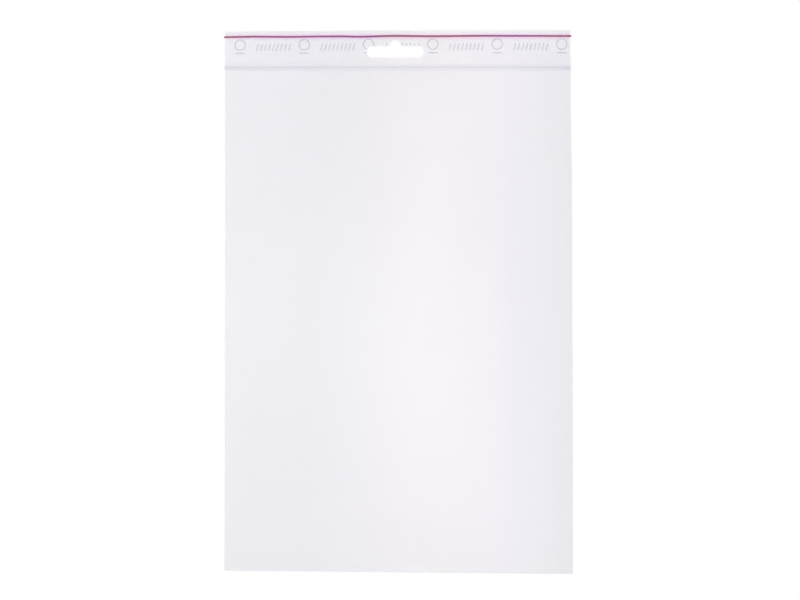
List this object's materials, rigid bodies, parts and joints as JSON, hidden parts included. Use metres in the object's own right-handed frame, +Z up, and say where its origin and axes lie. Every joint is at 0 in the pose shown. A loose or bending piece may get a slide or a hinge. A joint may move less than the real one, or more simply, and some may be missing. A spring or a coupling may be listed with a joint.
{
  "type": "zipper bag",
  "caption": "Flat press-seal bag of thin clear film with a hooked zip along the mouth, side welds, a coloured lip line and a punched hang slot.",
  "frame": {"origin": "middle of the bag's box at the floor, under the back wall, which lies on Z = 0", "axes": "+Z up out of the front wall, +Y towards the mouth, +X along the zip to the right seen from the front"},
  "size_m": [0.1812, 0.281, 0.0028],
  "materials": {
    "film": "thin milky clear polyethylene film, softly glossy",
    "line": "crimson polyethylene drawn with the film"
  },
  "bodies": {
    "root": {"bag_film": "film", "colour_line": "line"}
  },
  "joints": []
}
